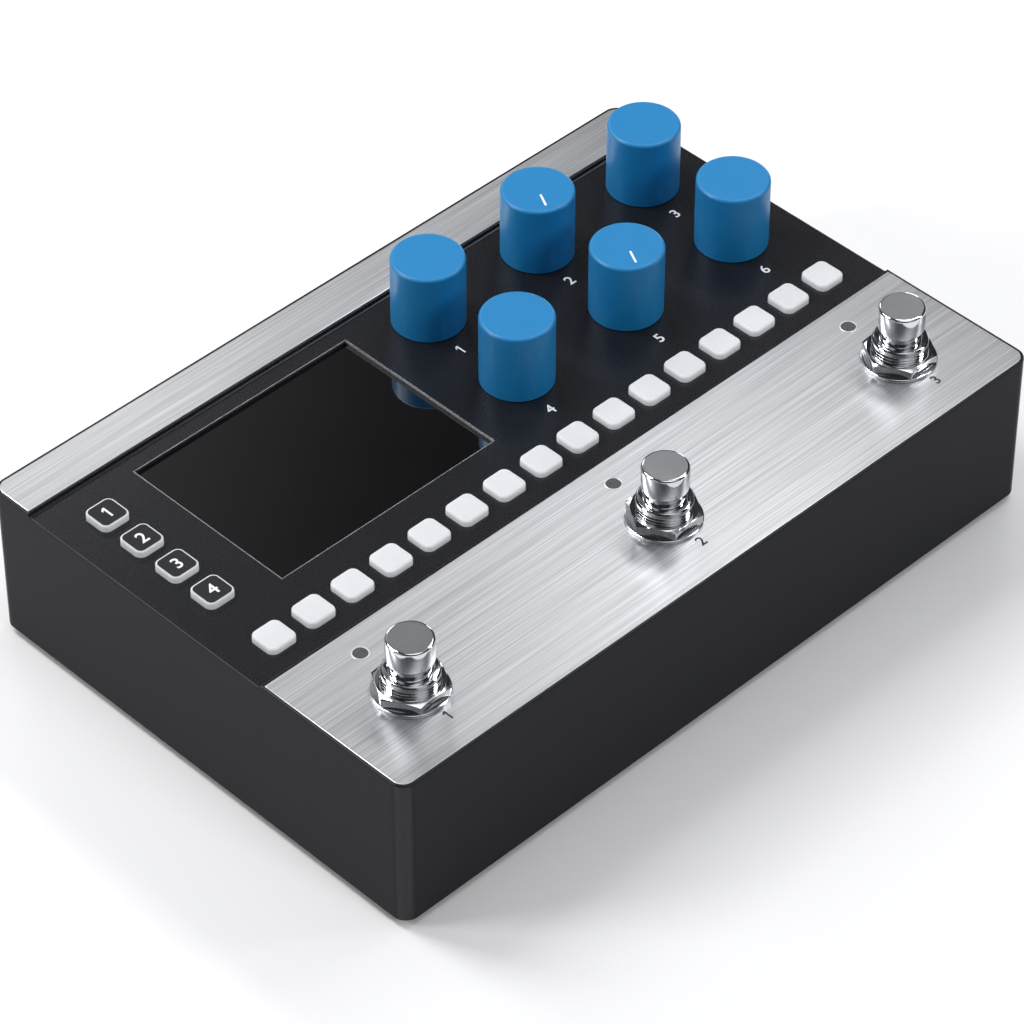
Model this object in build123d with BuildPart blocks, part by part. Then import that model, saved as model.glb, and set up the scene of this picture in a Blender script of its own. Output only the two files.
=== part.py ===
from build123d import *
import os

# Drum machine pedal. Millimetres, +Z up, X across the width, front towards -Y.
# The origin is on the floor, under the middle of the case.

# Case
chassis_width = 182.1
chassis_depth = 122.0
chassis_height = 37.4
corner_radius = 3.4
wall = 2.4
top_wall = 2.4
edge_round = 0.4
panel_recess = 0.85
step_fillet = 0.6
step_edge_round = 0.2
overrun = 5.0

# Brushed sheets let into the raised front and back of the case
plate_thickness = 0.8
plate_gap = 0.05
rim_width = 0.6
front_plate_depth = 39.8
back_plate_depth = 11.4

# Bottom plate, its screws and the feet
lid_thickness = 1.5
lid_gap = 0.2
boss_diameter = 6.8
boss_inset = 5.6
lid_screw_diameter = 3.0
lid_screw_head = 5.6
lid_screw_length = 10.0
screw_gap = 0.05
foot_height = 2.0
foot_diameter = 12.7
foot_inset = 16.0
foot_edge_round = 0.5

# Screen
screen_width = 58.7
screen_key_space = 9.6
screen_row_space = 8.4
screen_plate_space = 5.45
window_chamfer = 0.25
glass_thickness = 1.5
glass_margin = 2.0
glass_gap = 0.1
module_side_border = 5.25
module_end_border = 2.85
module_thickness = 2.6

# Keys and the switches under them
step_count = 16
number_count = 4
key_inset = 11.55
key_space = 3.5
key_corner = 1.6
key_gap = 0.25
key_proud = 1.3
key_travel = 0.8
step_key_round = 0.5
number_key_round = 0.25
step_row_offset = 9.1
number_top_share = 0.809
number_bottom_share = 0.2935
flange_ledge = 0.7
flange_thickness = 1.0
flange_gap = 0.1
plunger_diameter = 3.4
plunger_engagement = 1.0
plunger_floor_gap = 0.3
switch_size = 6.2
switch_height = 3.5
running_gap = 0.05

# Knobs, and the encoders and potentiometers that carry them
knob_columns = 3
knob_rows = 2
knob_screen_space = 9.62
knob_side_inset = 16.0
knob_back_share = 0.8
knob_front_share = 0.3665
knob_diameter = 16.16
knob_height = 16.75
knob_gap = 0.2
knob_round = 0.7
knob_cap = 3.6
knob_nut_gap = 0.35
pointer_width = 0.5
pointer_depth = 0.2
pointer_inner = 1.9
pointer_outer = 5.9
pointer_turn = 27.0
spindle_diameter = 6.0
spindle_flat = 1.5
spindle_engagement = 9.0
spindle_fit = 0.03
spindle_end_gap = 0.3
spindle_root = 4.0
bush_diameter = 9.0
bush_rise = 3.6
bush_hole_gap = 0.1
control_body_height = 6.5
encoder_size = 11.8
pot_diameter = 14.0
pot_tab_width = 10.0
pot_tab_reach = 9.0
control_nut_flats = 11.0
control_nut_thickness = 2.0

# Hex nuts: flats over corners, the slope of the turned-down corners and how far out that cone is drawn
hex_flat_share = 0.75**0.5
nut_slope_share = 0.577
nut_cone_share = 1.05

# Foot switches and status lights
stomp_count = 3
stomp_side_inset = 20.29
stomp_front_inset = 18.95
stomp_cap_diameter = 10.0
stomp_cap_height = 5.3
stomp_cap_rise = 8.9
stomp_cap_round = 0.6
stomp_cap_heel = 0.3
stomp_stem_diameter = 8.5
stomp_stem_gap = 0.07
stomp_travel = 2.2
stomp_bush_diameter = 12.0
stomp_bush_rise = 6.1
stomp_bush_chamfer = 0.4
stomp_nut_flats = 14.0
stomp_nut_thickness = 2.3
stomp_washer_diameter = 16.2
stomp_washer_thickness = 0.7
stomp_body_size = 16.8
stomp_body_height = 17.0
stomp_body_round = 1.2
stomp_stem_root = 4.0
light_offset_y = 14.38
light_diameter = 3.2
light_hole_gap = 0.05
light_collar_diameter = 4.6
light_collar_height = 1.2
light_rim_chamfer = 0.2

# Boards inside the case
board_thickness = 1.6
board_side_gap = 2.65
board_stomp_gap = 2.15
board_back_gap = 8.6
post_diameter = 5.2
post_inset = 2.8
board_screw_diameter = 2.5
board_screw_length = 6.0
board_screw_head = 4.6
board_screw_head_height = 1.8
jack_board_side_gap = 9.65
jack_board_depth = 27.0
jack_board_gap = 1.0
boss_notch_gap = 0.6
link_width = 25.4
link_depth = 5.0
link_side_inset = 32.0
link_front_inset = 6.4

# Sockets in the back wall
jack_board_height = 9.5
audio_jack_count = 4
audio_boss_space = 13.6
audio_side_inset = 20.05
audio_jack_axis = 6.5
audio_jack_bore = 6.4
audio_jack_bore_depth = 28.0
audio_jack_bush = 9.0
audio_jack_body_space = 3.0
audio_jack_body_height = 13.0
audio_jack_body_depth = 24.0
audio_jack_proud = 2.0
jack_nut_flats = 12.0
jack_nut_thickness = 1.8
jack_hole_gap = 0.1
sync_boss_space = 10.6
sync_outer_share = 0.731
sync_jack_axis = 3.5
sync_jack_bore = 3.6
sync_jack_bore_depth = 14.0
sync_jack_nose = 6.0
sync_jack_body_width = 9.0
sync_jack_body_height = 7.0
sync_jack_body_depth = 13.0
usb_share = 0.423
usb_shell_width = 8.94
usb_shell_height = 3.26
usb_shell_wall = 0.3
usb_shell_depth = 9.0
usb_back_wall = 0.8
usb_tongue_width = 6.7
usb_tongue_thickness = 0.7
usb_tongue_reach = 5.0
usb_hole_gap = 0.2
power_side_inset = 25.05
power_axis = 6.5
power_nose = 7.8
power_bore = 5.7
power_bore_depth = 11.0
power_pin = 2.0
power_pin_setback = 1.0
power_body_width = 9.2
power_body_height = 11.0
power_body_depth = 13.0

# Levels, from the floor up
base_z = foot_height
lid_top_z = base_z + lid_thickness
rim_z = base_z + chassis_height
panel_z = rim_z - panel_recess
ceiling_z = panel_z - top_wall
board_top_z = ceiling_z - control_body_height
board_bottom_z = board_top_z - board_thickness
jack_board_top_z = lid_top_z + jack_board_height
back_wall_y = chassis_depth / 2
back_inner_y = back_wall_y - wall
inner_width = chassis_width - 2 * wall
inner_depth = chassis_depth - 2 * wall
inner_radius = corner_radius - wall

# Depths of the sheets and of the panel zone, from the step keys to the back sheet
front_plate_back_y = front_plate_depth - chassis_depth / 2
back_plate_front_y = chassis_depth / 2 - back_plate_depth
step_row_y = front_plate_back_y + step_row_offset
zone_depth = back_plate_front_y - step_row_y

# Keys: the step keys span the width, the numbered ones stand in a column over the first of them
first_key_x = key_inset - chassis_width / 2
step_pitch = (chassis_width - 2 * key_inset) / (step_count - 1)
step_key_size = step_pitch - key_space
step_places = [(first_key_x + i * step_pitch, step_row_y) for i in range(step_count)]
number_top_y = step_row_y + zone_depth * number_top_share
number_pitch = zone_depth * (number_top_share - number_bottom_share) / (number_count - 1)
number_key_size = number_pitch - key_space
number_places = [(first_key_x, number_top_y - i * number_pitch) for i in range(number_count)]

# Screen: beside the numbered keys, between the step keys and the back sheet
screen_left_x = first_key_x + number_key_size / 2 + screen_key_space
screen_front_y = step_row_y + step_key_size / 2 + screen_row_space
screen_height = back_plate_front_y - screen_plate_space - screen_front_y
screen_x = screen_left_x + screen_width / 2
screen_y = screen_front_y + screen_height / 2

# Knobs: three columns from the screen to the right side
knob_left_x = screen_left_x + screen_width + knob_screen_space + knob_diameter / 2
knob_right_x = chassis_width / 2 - knob_side_inset
knob_pitch_x = (knob_right_x - knob_left_x) / (knob_columns - 1)
knob_row_ys = [step_row_y + zone_depth * share for share in (knob_back_share, knob_front_share)]
knob_places = {
    f"{row_name}_{column_name}": (knob_left_x + column * knob_pitch_x, row_y)
    for row_name, row_y in zip(("back", "front"), knob_row_ys)
    for column, column_name in enumerate(("left", "middle", "right"))
}
pot_places = [place for name, place in knob_places.items() if name.endswith("middle")]
encoder_places = [place for name, place in knob_places.items() if not name.endswith("middle")]

# Foot switches along the front, each with a light behind it
stomp_row_y = stomp_front_inset - chassis_depth / 2
stomp_left_x = stomp_side_inset - chassis_width / 2
stomp_pitch = (chassis_width - 2 * stomp_side_inset) / (stomp_count - 1)
stomp_places = [(stomp_left_x + i * stomp_pitch, stomp_row_y) for i in range(stomp_count)]
light_places = [(x, y + light_offset_y) for x, y in stomp_places]

# Places inside the case
boss_x = chassis_width / 2 - boss_inset
boss_y = chassis_depth / 2 - boss_inset
boss_places = [(x, y) for x in (-boss_x, 0, boss_x) for y in (-boss_y, boss_y)]
feet_places = [
    (side * (chassis_width / 2 - foot_inset), end * (chassis_depth / 2 - foot_inset))
    for side in (-1, 1)
    for end in (-1, 1)
]
board_width = inner_width - 2 * board_side_gap
board_front_y = stomp_row_y + stomp_body_size / 2 + board_stomp_gap
board_back_y = back_inner_y - board_back_gap
post_x = board_width / 2 - post_inset
post_front_y = board_front_y + post_inset
post_back_y = board_back_y - post_inset
post_places = [(-post_x, post_back_y), (post_x, post_back_y), (-post_x, post_front_y), (post_x, post_front_y)]
post_places += [(side * stomp_pitch / 2, post_front_y) for side in (-1, 1)]
post_places += [(knob_left_x + gap * knob_pitch_x, sum(knob_row_ys) / knob_rows) for gap in (1 / 2, 3 / 2)]

# Places along the back wall: audio jacks right of the middle boss, the other sockets left of it
audio_left_x = boss_diameter / 2 + audio_boss_space
audio_right_x = chassis_width / 2 - audio_side_inset
audio_jack_pitch = (audio_right_x - audio_left_x) / (audio_jack_count - 1)
audio_jack_body_width = audio_jack_pitch - audio_jack_body_space
audio_xs = [audio_left_x + i * audio_jack_pitch for i in range(audio_jack_count)]
power_x = power_side_inset - chassis_width / 2
sync_inner_x = -boss_diameter / 2 - sync_boss_space
usb_x = power_x + (sync_inner_x - power_x) * usb_share
sync_xs = [power_x + (sync_inner_x - power_x) * sync_outer_share, sync_inner_x]
audio_z = jack_board_top_z + audio_jack_axis
sync_z = jack_board_top_z + sync_jack_axis
power_z = jack_board_top_z + power_axis
usb_z = jack_board_top_z + usb_shell_height / 2

os.makedirs("parts", exist_ok=True)


def save(piece, name):
    """Label a finished piece and write it as one file."""
    piece.part.label = name
    export_step(piece.part, f"parts/{name}.step")


def at_back(y):
    """Upright plane at depth y that faces the back: its X runs along -X, its Y runs up."""
    return Plane(origin=(0, y, 0), x_dir=(-1, 0, 0), z_dir=(0, 1, 0))


def plate_outline(low_y, high_y, gap):
    """Outline of one brushed sheet: the case outline drawn in by the rim, cut to one stretch of the depth."""
    inset = rim_width + gap
    with BuildSketch() as outline:
        RectangleRounded(chassis_width - 2 * inset, chassis_depth - 2 * inset, corner_radius - inset)
        with Locations((0, (low_y + high_y) / 2)):
            Rectangle(chassis_width, high_y - low_y, mode=Mode.INTERSECT)
    return outline.sketch


def hex_nut(flats, thickness, hole):
    """Hex nut on the XY plane, points along X, with the corners of its top face turned down."""
    cone_radius = flats / 2 / hex_flat_share * nut_cone_share
    cone_drop = (cone_radius - flats / 2) * nut_slope_share
    with BuildPart() as nut:
        with BuildSketch():
            RegularPolygon(radius=flats / 2, side_count=6, major_radius=False)
        extrude(amount=thickness)
        with BuildSketch(Plane.XZ):
            with BuildLine():
                Polyline(
                    (0, 0),
                    (cone_radius, 0),
                    (cone_radius, thickness - cone_drop),
                    (flats / 2, thickness),
                    (0, thickness),
                    close=True,
                )
            make_face()
        revolve(axis=Axis.Z, mode=Mode.INTERSECT)
        with BuildSketch():
            Circle(hole / 2)
        extrude(amount=thickness, mode=Mode.SUBTRACT)
    return nut.part


# Case shell: a rounded box, open underneath, with a shallow channel across the top for the control panel.
channel_front_y = front_plate_back_y + rim_width
channel_back_y = back_plate_front_y - rim_width
front_pocket = plate_outline(-chassis_depth / 2, front_plate_back_y, 0)
back_pocket = plate_outline(back_plate_front_y, chassis_depth / 2, 0)
step_key_hole = step_key_size + 2 * key_gap
number_key_hole = number_key_size + 2 * key_gap
key_hole_corner = key_corner + key_gap
glass_width = screen_width + 2 * glass_margin
glass_height = screen_height + 2 * glass_margin

with BuildPart() as chassis:
    with BuildSketch(Plane.XY.offset(base_z)):
        RectangleRounded(chassis_width, chassis_depth, corner_radius)
    extrude(amount=chassis_height)
    fillet(chassis.faces().sort_by(Axis.Z)[-1].edges(), radius=edge_round)

    # Panel channel, with a hollow fillet at the foot of each step and a soft edge at its top.
    with BuildSketch(Plane.YZ.offset(-chassis_width / 2 - overrun)):
        with BuildLine():
            shoulder = 2 * step_edge_round
            bed = FilletPolyline(
                (channel_front_y - shoulder, rim_z),
                (channel_front_y, rim_z),
                (channel_front_y, panel_z),
                (channel_back_y, panel_z),
                (channel_back_y, rim_z),
                (channel_back_y + shoulder, rim_z),
                radius=[step_edge_round, step_fillet, step_fillet, step_edge_round],
            )
            Polyline(
                bed @ 1,
                (channel_back_y + shoulder, rim_z + overrun),
                (channel_front_y - shoulder, rim_z + overrun),
                bed @ 0,
            )
        make_face()
    extrude(amount=chassis_width + 2 * overrun, mode=Mode.SUBTRACT)

    # Rounded ends of the channel, along the left and right edges of the panel.
    with BuildSketch(Plane.XZ.offset(step_fillet - channel_back_y)):
        for side in (-1, 1):
            with Locations((side * chassis_width / 2, panel_z)):
                Rectangle(2 * edge_round, 2 * edge_round)
        for side in (-1, 1):
            with Locations((side * (chassis_width / 2 - edge_round), panel_z - edge_round)):
                Circle(edge_round, mode=Mode.SUBTRACT)
    extrude(amount=channel_back_y - channel_front_y - 2 * step_fillet, mode=Mode.SUBTRACT)

    # Shallow pockets for the brushed sheets.
    with BuildSketch(Plane.XY.offset(rim_z - plate_thickness)):
        add(front_pocket)
        add(back_pocket)
    extrude(amount=plate_thickness, mode=Mode.SUBTRACT)

    # Hollow inside, with screw bosses in the corners and posts under the ceiling for the panel board.
    with BuildSketch(Plane.XY.offset(base_z)):
        RectangleRounded(inner_width, inner_depth, inner_radius)
    extrude(amount=ceiling_z - base_z, mode=Mode.SUBTRACT)
    with BuildSketch(Plane.XY.offset(lid_top_z)):
        with Locations(*boss_places):
            Circle(boss_diameter / 2)
    extrude(amount=ceiling_z - lid_top_z)
    with BuildSketch(Plane.XY.offset(board_top_z)):
        with Locations(*post_places):
            Circle(post_diameter / 2)
    extrude(amount=control_body_height)
    with BuildSketch(Plane.XY.offset(lid_top_z)):
        with Locations(*boss_places):
            Circle(lid_screw_diameter / 2 + screw_gap)
    extrude(amount=lid_screw_length, mode=Mode.SUBTRACT)
    with BuildSketch(Plane.XY.offset(board_top_z)):
        with Locations(*post_places):
            Circle(board_screw_diameter / 2 + screw_gap)
    extrude(amount=board_screw_length - board_thickness, mode=Mode.SUBTRACT)

    # Openings in the top: keys, knob bushes, foot switch bushes, lights and the screen window.
    with BuildSketch(Plane.XY.offset(ceiling_z)):
        with Locations(*step_places):
            RectangleRounded(step_key_hole, step_key_hole, key_hole_corner)
        with Locations(*number_places):
            RectangleRounded(number_key_hole, number_key_hole, key_hole_corner)
        with Locations(*knob_places.values()):
            Circle(bush_diameter / 2 + bush_hole_gap)
        with Locations(*stomp_places):
            Circle(stomp_bush_diameter / 2 + bush_hole_gap)
        with Locations(*light_places):
            Circle(light_diameter / 2 + light_hole_gap)
        with Locations((screen_x, screen_y)):
            Rectangle(screen_width, screen_height)
    extrude(amount=top_wall + panel_recess, mode=Mode.SUBTRACT)
    with BuildSketch(Plane.XY.offset(ceiling_z)):
        with Locations((screen_x, screen_y)):
            Rectangle(glass_width + 2 * glass_gap, glass_height + 2 * glass_gap)
    extrude(amount=glass_thickness, mode=Mode.SUBTRACT)
    with BuildSketch(Plane.XY.offset(panel_z)):
        with Locations((screen_x, screen_y)):
            Rectangle(screen_width + 2 * window_chamfer, screen_height + 2 * window_chamfer)
    extrude(amount=-window_chamfer, taper=45, mode=Mode.SUBTRACT)

    # Openings in the back wall for the sockets.
    with BuildSketch(at_back(back_inner_y)):
        with Locations(*[(-x, audio_z) for x in audio_xs]):
            Circle(audio_jack_bush / 2 + jack_hole_gap)
        with Locations(*[(-x, sync_z) for x in sync_xs]):
            Circle(sync_jack_nose / 2 + jack_hole_gap)
        with Locations((-power_x, power_z)):
            Circle(power_nose / 2 + jack_hole_gap)
        with Locations((-usb_x, usb_z)):
            SlotOverall(usb_shell_width + 2 * usb_hole_gap, usb_shell_height + 2 * usb_hole_gap)
    extrude(amount=wall, mode=Mode.SUBTRACT)
save(chassis, "chassis")

# Brushed front sheet, with a hole for each foot switch and a countersunk one for each light.
with BuildPart() as front_plate:
    with BuildSketch(Plane.XY.offset(rim_z - plate_thickness)):
        add(plate_outline(-chassis_depth / 2, front_plate_back_y - plate_gap, plate_gap))
        with Locations(*stomp_places):
            Circle(stomp_bush_diameter / 2 + bush_hole_gap, mode=Mode.SUBTRACT)
        with Locations(*light_places):
            Circle(light_diameter / 2 + light_hole_gap, mode=Mode.SUBTRACT)
    extrude(amount=plate_thickness)
    with BuildSketch(Plane.XY.offset(rim_z)):
        with Locations(*light_places):
            Circle(light_diameter / 2 + light_hole_gap + light_rim_chamfer)
    extrude(amount=-light_rim_chamfer, taper=45, mode=Mode.SUBTRACT)
save(front_plate, "front_plate")

# Brushed back sheet.
with BuildPart() as back_plate:
    with BuildSketch(Plane.XY.offset(rim_z - plate_thickness)):
        add(plate_outline(back_plate_front_y + plate_gap, chassis_depth / 2, plate_gap))
    extrude(amount=plate_thickness)
save(back_plate, "back_plate")

# Bottom plate, let in between the walls, with a countersunk hole at each boss.
lid_hole = lid_screw_diameter / 2 + screw_gap
lid_sink = (lid_screw_head - lid_screw_diameter) / 2
with BuildPart() as bottom_plate:
    with BuildSketch(Plane.XY.offset(base_z)):
        RectangleRounded(inner_width - 2 * lid_gap, inner_depth - 2 * lid_gap, inner_radius)
        with Locations(*boss_places):
            Circle(lid_hole, mode=Mode.SUBTRACT)
    extrude(amount=lid_thickness)
    with BuildSketch(Plane.XY.offset(base_z)):
        with Locations(*boss_places):
            Circle(lid_hole + lid_sink)
    extrude(amount=lid_sink, taper=45, mode=Mode.SUBTRACT)
save(bottom_plate, "bottom_plate")

# Countersunk screws of the bottom plate.
with BuildPart() as bottom_screws:
    with BuildSketch(Plane.XY.offset(base_z)):
        with Locations(*boss_places):
            Circle(lid_screw_diameter / 2)
    extrude(amount=lid_screw_length)
    with BuildSketch(Plane.XY.offset(base_z)):
        with Locations(*boss_places):
            Circle(lid_screw_head / 2)
    extrude(amount=lid_sink, taper=45)
save(bottom_screws, "bottom_screws")

# Rubber feet, stuck to the bottom plate.
with BuildPart() as feet:
    with BuildSketch():
        with Locations(*feet_places):
            Circle(foot_diameter / 2)
    extrude(amount=foot_height)
    fillet(feet.edges().filter_by(GeomType.CIRCLE).group_by(Axis.Z)[0], radius=foot_edge_round)
save(feet, "feet")

# Cover glass, seated from inside against the lip of the window.
with BuildPart() as screen_glass:
    with BuildSketch(Plane.XY.offset(ceiling_z)):
        with Locations((screen_x, screen_y)):
            Rectangle(glass_width, glass_height)
    extrude(amount=glass_thickness)
save(screen_glass, "screen_glass")

# Display module, bonded under the glass.
with BuildPart() as display_module:
    with BuildSketch(Plane.XY.offset(ceiling_z - module_thickness)):
        with Locations((screen_x, screen_y)):
            Rectangle(screen_width + 2 * module_side_border, screen_height + 2 * module_end_border)
    extrude(amount=module_thickness)
save(display_module, "display_module")


def key_cap(size, edge):
    """Key on the Z axis: a cap through the panel, a flange that holds it in and the plunger of its switch."""
    cap_z = panel_z + key_proud
    flange_top = ceiling_z - flange_gap
    flange_size = size + 2 * flange_ledge
    plunger_z = board_top_z + switch_height - plunger_engagement
    with BuildPart() as key:
        with BuildSketch(Plane.XY.offset(flange_top)):
            RectangleRounded(size, size, key_corner)
        extrude(amount=cap_z - flange_top)
        fillet(key.faces().sort_by(Axis.Z)[-1].edges(), radius=edge)
        with BuildSketch(Plane.XY.offset(flange_top)):
            RectangleRounded(flange_size, flange_size, key_corner)
        extrude(amount=-flange_thickness)
        with BuildSketch(Plane.XY.offset(plunger_z)):
            Circle(plunger_diameter / 2)
        extrude(amount=flange_top - plunger_z)
    return key.part


# Step keys in a row, and the numbered keys in a column.
step_key_shape = key_cap(step_key_size, step_key_round)
for index, place in enumerate(step_places):
    with BuildPart() as step_key:
        with Locations(place):
            add(step_key_shape)
    save(step_key, f"step_key_{index + 1:02d}")
number_key_shape = key_cap(number_key_size, number_key_round)
for index, place in enumerate(number_places):
    with BuildPart() as number_key:
        with Locations(place):
            add(number_key_shape)
    save(number_key, f"number_key_{index + 1}")

# Switch housings under the keys, each with a well for the plunger.
switch_top_z = board_top_z + switch_height
well_depth = plunger_engagement + key_travel + plunger_floor_gap
with BuildPart() as key_switches:
    with BuildSketch(Plane.XY.offset(board_top_z)):
        with Locations(*step_places, *number_places):
            Rectangle(switch_size, switch_size)
    extrude(amount=switch_height)
    with BuildSketch(Plane.XY.offset(switch_top_z)):
        with Locations(*step_places, *number_places):
            Circle(plunger_diameter / 2 + running_gap)
    extrude(amount=-well_depth, mode=Mode.SUBTRACT)
save(key_switches, "key_switches")

# Knobs: a turned cap, hollowed underneath to clear the nut, with a flat in its bore for the spindle.
knob_bottom_z = panel_z + knob_gap
knob_top_z = knob_bottom_z + knob_height
nut_corners = control_nut_flats / 2 / hex_flat_share
spindle_top_z = knob_top_z - knob_cap - spindle_end_gap
bore_flat_x = spindle_diameter / 2 - spindle_flat


def turned_knob(pointer):
    """Knob on the Z axis, with or without the groove of a pointer line."""
    bore_top_z = knob_top_z - knob_cap
    hollow_top_z = spindle_top_z - spindle_engagement
    with BuildPart() as knob:
        with BuildSketch(Plane.XY.offset(knob_bottom_z)):
            Circle(knob_diameter / 2)
        extrude(amount=knob_height)
        fillet(knob.faces().sort_by(Axis.Z)[-1].edges(), radius=knob_round)
        with BuildSketch(Plane.XY.offset(knob_bottom_z)):
            Circle(nut_corners + knob_nut_gap)
        extrude(amount=hollow_top_z - knob_bottom_z, mode=Mode.SUBTRACT)
        with BuildSketch(Plane.XY.offset(hollow_top_z)):
            Circle(spindle_diameter / 2 + spindle_fit)
            with Locations((bore_flat_x + spindle_fit, 0)):
                Rectangle(
                    spindle_diameter,
                    2 * spindle_diameter,
                    align=(Align.MIN, Align.CENTER),
                    mode=Mode.SUBTRACT,
                )
        extrude(amount=bore_top_z - hollow_top_z, mode=Mode.SUBTRACT)
        if pointer:
            with BuildSketch(Plane.XY.offset(knob_top_z).rotated((0, 0, -90 - pointer_turn))):
                with Locations(((pointer_inner + pointer_outer) / 2, 0)):
                    SlotOverall(pointer_outer - pointer_inner, pointer_width)
            extrude(amount=-pointer_depth, mode=Mode.SUBTRACT)
    return knob.part


plain_knob_shape = turned_knob(False)
pointer_knob_shape = turned_knob(True)
for name, place in knob_places.items():
    with BuildPart() as knob:
        with Locations(place):
            add(pointer_knob_shape if place in pot_places else plain_knob_shape)
    save(knob, f"knob_{name}")

# Spindles: round in the bush, flatted where they drive the knob.
spindle_bottom_z = ceiling_z - spindle_root
flat_bottom_z = spindle_top_z - spindle_engagement
with BuildPart() as spindle_shape:
    with BuildSketch(Plane.XY.offset(spindle_bottom_z)):
        Circle(spindle_diameter / 2)
    extrude(amount=spindle_top_z - spindle_bottom_z)
    with BuildSketch(Plane.XY.offset(flat_bottom_z)):
        with Locations((bore_flat_x, 0)):
            Rectangle(spindle_diameter, 2 * spindle_diameter, align=(Align.MIN, Align.CENTER))
    extrude(amount=spindle_top_z - flat_bottom_z, mode=Mode.SUBTRACT)
for name, place in knob_places.items():
    with BuildPart() as spindle:
        with Locations(place):
            add(spindle_shape.part)
    save(spindle, f"spindle_{name}")

# Encoder bodies with their threaded bushes.
bush_top_z = panel_z + bush_rise
bore_bottom_z = spindle_bottom_z - spindle_end_gap
with BuildPart() as encoder_bodies:
    with BuildSketch(Plane.XY.offset(board_top_z)):
        with Locations(*encoder_places):
            Rectangle(encoder_size, encoder_size)
    extrude(amount=control_body_height)
    with BuildSketch(Plane.XY.offset(ceiling_z)):
        with Locations(*encoder_places):
            Circle(bush_diameter / 2)
    extrude(amount=bush_top_z - ceiling_z)
    with BuildSketch(Plane.XY.offset(bore_bottom_z)):
        with Locations(*encoder_places):
            Circle(spindle_diameter / 2 + running_gap)
    extrude(amount=bush_top_z - bore_bottom_z, mode=Mode.SUBTRACT)
save(encoder_bodies, "encoder_bodies")

# Potentiometer bodies: a round can with a terminal tab towards the front, and the same bush.
with BuildPart() as pot_bodies:
    with BuildSketch(Plane.XY.offset(board_top_z)):
        with Locations(*pot_places):
            Circle(pot_diameter / 2)
            Rectangle(pot_tab_width, pot_tab_reach, align=(Align.CENTER, Align.MAX))
    extrude(amount=control_body_height)
    with BuildSketch(Plane.XY.offset(ceiling_z)):
        with Locations(*pot_places):
            Circle(bush_diameter / 2)
    extrude(amount=bush_top_z - ceiling_z)
    with BuildSketch(Plane.XY.offset(bore_bottom_z)):
        with Locations(*pot_places):
            Circle(spindle_diameter / 2 + running_gap)
    extrude(amount=bush_top_z - bore_bottom_z, mode=Mode.SUBTRACT)
save(pot_bodies, "pot_bodies")

# Nuts that hold the encoders and potentiometers to the panel.
control_nut_shape = hex_nut(control_nut_flats, control_nut_thickness, bush_diameter + 2 * screw_gap)
with BuildPart() as control_nuts:
    with Locations(*[(x, y, panel_z) for x, y in knob_places.values()]):
        add(control_nut_shape)
save(control_nuts, "control_nuts")

# Foot switch buttons: a turned cap on a stem that runs in the bush.
stomp_cap_z = rim_z + stomp_cap_rise
stomp_body_top_z = ceiling_z - stomp_nut_thickness
stem_bottom_z = stomp_body_top_z - stomp_stem_root
with BuildPart() as stomp_shape:
    with BuildSketch(Plane.XZ):
        with BuildLine():
            FilletPolyline(
                (0, stomp_cap_z + stomp_cap_height),
                (stomp_cap_diameter / 2, stomp_cap_z + stomp_cap_height),
                (stomp_cap_diameter / 2, stomp_cap_z),
                (stomp_stem_diameter / 2, stomp_cap_z),
                radius=[stomp_cap_round, stomp_cap_heel],
            )
            Polyline(
                (stomp_stem_diameter / 2, stomp_cap_z),
                (stomp_stem_diameter / 2, stem_bottom_z),
                (0, stem_bottom_z),
                (0, stomp_cap_z + stomp_cap_height),
            )
        make_face()
    revolve(axis=Axis.Z)
for name, place in zip(("left", "middle", "right"), stomp_places):
    with BuildPart() as stomp_button:
        with Locations(place):
            add(stomp_shape.part)
    save(stomp_button, f"foot_button_{name}")

# Foot switch bodies: a moulded box under the case and the bush that comes up through it.
stomp_bush_top_z = rim_z + stomp_bush_rise
stomp_bore_bottom_z = stem_bottom_z - stomp_travel - plunger_floor_gap
with BuildPart() as foot_switch_bodies:
    with BuildSketch(Plane.XY.offset(stomp_body_top_z)):
        with Locations(*stomp_places):
            RectangleRounded(stomp_body_size, stomp_body_size, stomp_body_round)
    extrude(amount=-stomp_body_height)
    with BuildSketch(Plane.XY.offset(stomp_body_top_z)):
        with Locations(*stomp_places):
            Circle(stomp_bush_diameter / 2)
    extrude(amount=stomp_bush_top_z - stomp_body_top_z)
    chamfer(foot_switch_bodies.faces().group_by(Axis.Z)[-1].edges(), length=stomp_bush_chamfer)
    with BuildSketch(Plane.XY.offset(stomp_bore_bottom_z)):
        with Locations(*stomp_places):
            Circle(stomp_stem_diameter / 2 + stomp_stem_gap)
    extrude(amount=stomp_bush_top_z - stomp_bore_bottom_z, mode=Mode.SUBTRACT)
save(foot_switch_bodies, "foot_switch_bodies")

# Foot switch nuts: one on the washer above the sheet and one under the case for each switch.
stomp_nut_hole = stomp_bush_diameter + 2 * screw_gap
stomp_nut_shape = hex_nut(stomp_nut_flats, stomp_nut_thickness, stomp_nut_hole)
upper_nut_z = rim_z + stomp_washer_thickness
with BuildPart() as foot_switch_nuts:
    with Locations(*[(x, y, z) for x, y in stomp_places for z in (upper_nut_z, stomp_body_top_z)]):
        add(stomp_nut_shape)
save(foot_switch_nuts, "foot_switch_nuts")

# Washers under the upper nuts.
with BuildPart() as foot_switch_washers:
    with BuildSketch(Plane.XY.offset(rim_z)):
        with Locations(*stomp_places):
            Circle(stomp_washer_diameter / 2)
            Circle(stomp_nut_hole / 2, mode=Mode.SUBTRACT)
    extrude(amount=stomp_washer_thickness)
save(foot_switch_washers, "foot_switch_washers")

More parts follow.
